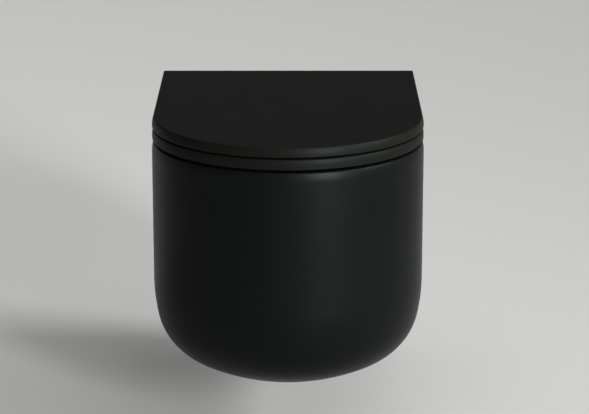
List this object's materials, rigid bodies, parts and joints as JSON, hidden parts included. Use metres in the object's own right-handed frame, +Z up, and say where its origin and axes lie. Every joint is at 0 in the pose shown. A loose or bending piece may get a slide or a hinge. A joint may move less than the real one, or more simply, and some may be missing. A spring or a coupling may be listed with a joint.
{
  "type": "wall-hung toilet",
  "caption": "Wall-hung toilet with a smooth D-shaped pan, a slim seat ring and a slim flat lid on soft-close hinges with push-release catches.",
  "frame": {"origin": "midpoint between the two wall bolt holes, on the pan's back face", "axes": "+Y points into the wall, +X to the right seen from the front, +Z up; the toilet's front looks along -Y"},
  "size_m": [0.361, 0.488, 0.3582],
  "materials": {
    "black_glaze": "matt black glaze",
    "black_duroplast": "satin black duroplast",
    "black_rubber": "matt",
    "black_metal": "satin black coating",
    "steel": "bright",
    "black_plastic": "matt",
    "pale_plastic": "matt"
  },
  "bodies": {
    "pan": {"pan": "black_glaze", "underside": "black_glaze", "bowl": "black_glaze", "trapway": "black_glaze", "inlet_horn": "black_glaze", "flush_distributor": "black_plastic", "inlet_seal": "black_rubber", "wall_sleeves": "pale_plastic", "wall_washers": "steel", "wall_nuts": "steel", "side_caps": "black_plastic", "deck_gaskets": "black_rubber", "base_plates": "steel", "hinge_studs": "steel", "expander_bushes": "black_rubber", "cone_nuts": "steel", "left_hinge_body": "black_metal", "right_hinge_body": "black_metal", "seat_pivot_pin": "steel", "lid_pivot_pin": "steel", "lid_damper_shaft": "steel", "seat_damper_shaft": "steel", "left_release_spring": "steel", "right_release_spring": "steel"},
    "left_button": {"left_release_button": "black_plastic"},
    "right_button": {"right_release_button": "black_plastic"},
    "seat": {"seat": "black_duroplast", "seat_front_buffers": "black_rubber", "seat_rear_buffers": "black_rubber", "left_seat_arm": "black_metal", "right_seat_arm": "black_metal", "seat_arm_screws": "steel", "seat_damper": "pale_plastic", "seat_damper_cap": "black_plastic"},
    "lid": {"lid": "black_duroplast", "lid_front_buffers": "black_rubber", "lid_rear_buffers": "black_rubber", "left_lid_arm": "black_metal", "right_lid_arm": "black_metal", "lid_arm_screws": "steel", "lid_damper": "pale_plastic", "lid_damper_cap": "black_plastic"}
  },
  "joints": [
    {"name": "seat_hinge", "type": "hinge", "parent": "pan", "child": "seat", "pos_m": [0, -0.033, 0.1], "axis": [-1, 0, 0], "range_deg": [0, 92]},
    {"name": "lid_hinge", "type": "hinge", "parent": "seat", "child": "lid", "pos_m": [0, -0.033, 0.1], "axis": [-1, 0, 0], "range_deg": [0, 92]},
    {"name": "left_release", "type": "slide", "parent": "pan", "child": "left_button", "axis": [0, 1, 0], "range_m": [0, 0.005], "stiffness_N_per_m": 600, "springref_m": -0.002, "deforming": ["left_release_spring"]},
    {"name": "right_release", "type": "slide", "parent": "pan", "child": "right_button", "axis": [0, 1, 0], "range_m": [0, 0.005], "stiffness_N_per_m": 600, "springref_m": -0.002, "deforming": ["right_release_spring"]}
  ]
}
